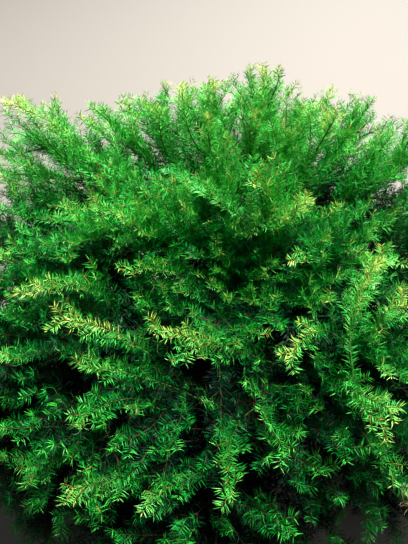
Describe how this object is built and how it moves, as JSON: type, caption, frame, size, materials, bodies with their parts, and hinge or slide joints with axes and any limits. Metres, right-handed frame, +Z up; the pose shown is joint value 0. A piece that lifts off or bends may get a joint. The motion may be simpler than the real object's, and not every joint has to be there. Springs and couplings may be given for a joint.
{
  "type": "potted spreading yew shrub",
  "caption": "Low, broad evergreen conifer shrub with boughs spreading from a short stem, sprays of needles, in a plain round clay pot.",
  "frame": {"origin": "centre of the pot's flat underside", "axes": "+Z up along the pot's axis, -Y towards the front as seen in the picture, +X to the viewer's right"},
  "size_m": [1.2383, 1.1508, 0.8038],
  "materials": {
    "pot": "unglazed terracotta",
    "potting_mix": "moist peat and bark chips",
    "bark": "flaky red-brown bark",
    "foliage_skirt": "dark blue-green needles",
    "foliage_side": "deep green needles",
    "foliage_shoulder": "mid green needles",
    "foliage_upper": "fresh green needles",
    "foliage_leader": "yellow-green new needles",
    "foliage_heart": "deep green needles"
  },
  "bodies": {
    "root": {"pot": "pot", "potting_mix": "potting_mix", "stem": "bark", "bough_skirt_1": "bark", "bough_skirt_2": "bark", "bough_skirt_3": "bark", "bough_skirt_4": "bark", "bough_skirt_5": "bark", "bough_skirt_6": "bark", "bough_side_1": "bark", "bough_side_2": "bark", "bough_side_3": "bark", "bough_side_4": "bark", "bough_side_5": "bark", "bough_side_6": "bark", "bough_side_7": "bark", "bough_shoulder_1": "bark", "bough_shoulder_2": "bark", "bough_shoulder_3": "bark", "bough_shoulder_4": "bark", "bough_shoulder_5": "bark", "bough_shoulder_6": "bark", "bough_leader_left": "bark", "bough_leader_back": "bark", "bough_leader_right": "bark", "bough_upper_1": "bark", "bough_upper_2": "bark", "bough_upper_3": "bark", "bough_upper_4": "bark", "bough_upper_5": "bark", "foliage_skirt_1": "foliage_skirt", "foliage_skirt_2": "foliage_skirt", "foliage_skirt_3": "foliage_skirt", "foliage_skirt_4": "foliage_skirt", "foliage_skirt_5": "foliage_skirt", "foliage_skirt_6": "foliage_skirt", "foliage_side_1": "foliage_side", "foliage_side_2": "foliage_side", "foliage_side_3": "foliage_side", "foliage_side_4": "foliage_side", "foliage_side_5": "foliage_side", "foliage_side_6": "foliage_side", "foliage_side_7": "foliage_side", "foliage_shoulder_1": "foliage_shoulder", "foliage_shoulder_2": "foliage_shoulder", "foliage_shoulder_3": "foliage_shoulder", "foliage_shoulder_4": "foliage_shoulder", "foliage_shoulder_5": "foliage_shoulder", "foliage_shoulder_6": "foliage_shoulder", "foliage_leader_left": "foliage_leader", "foliage_leader_back": "foliage_leader", "foliage_leader_right": "foliage_leader", "foliage_upper_1": "foliage_upper", "foliage_upper_2": "foliage_upper", "foliage_upper_3": "foliage_upper", "foliage_upper_4": "foliage_upper", "foliage_upper_5": "foliage_upper", "foliage_heart_1": "foliage_heart", "foliage_heart_2": "foliage_heart", "foliage_heart_3": "foliage_heart"}
  },
  "joints": []
}
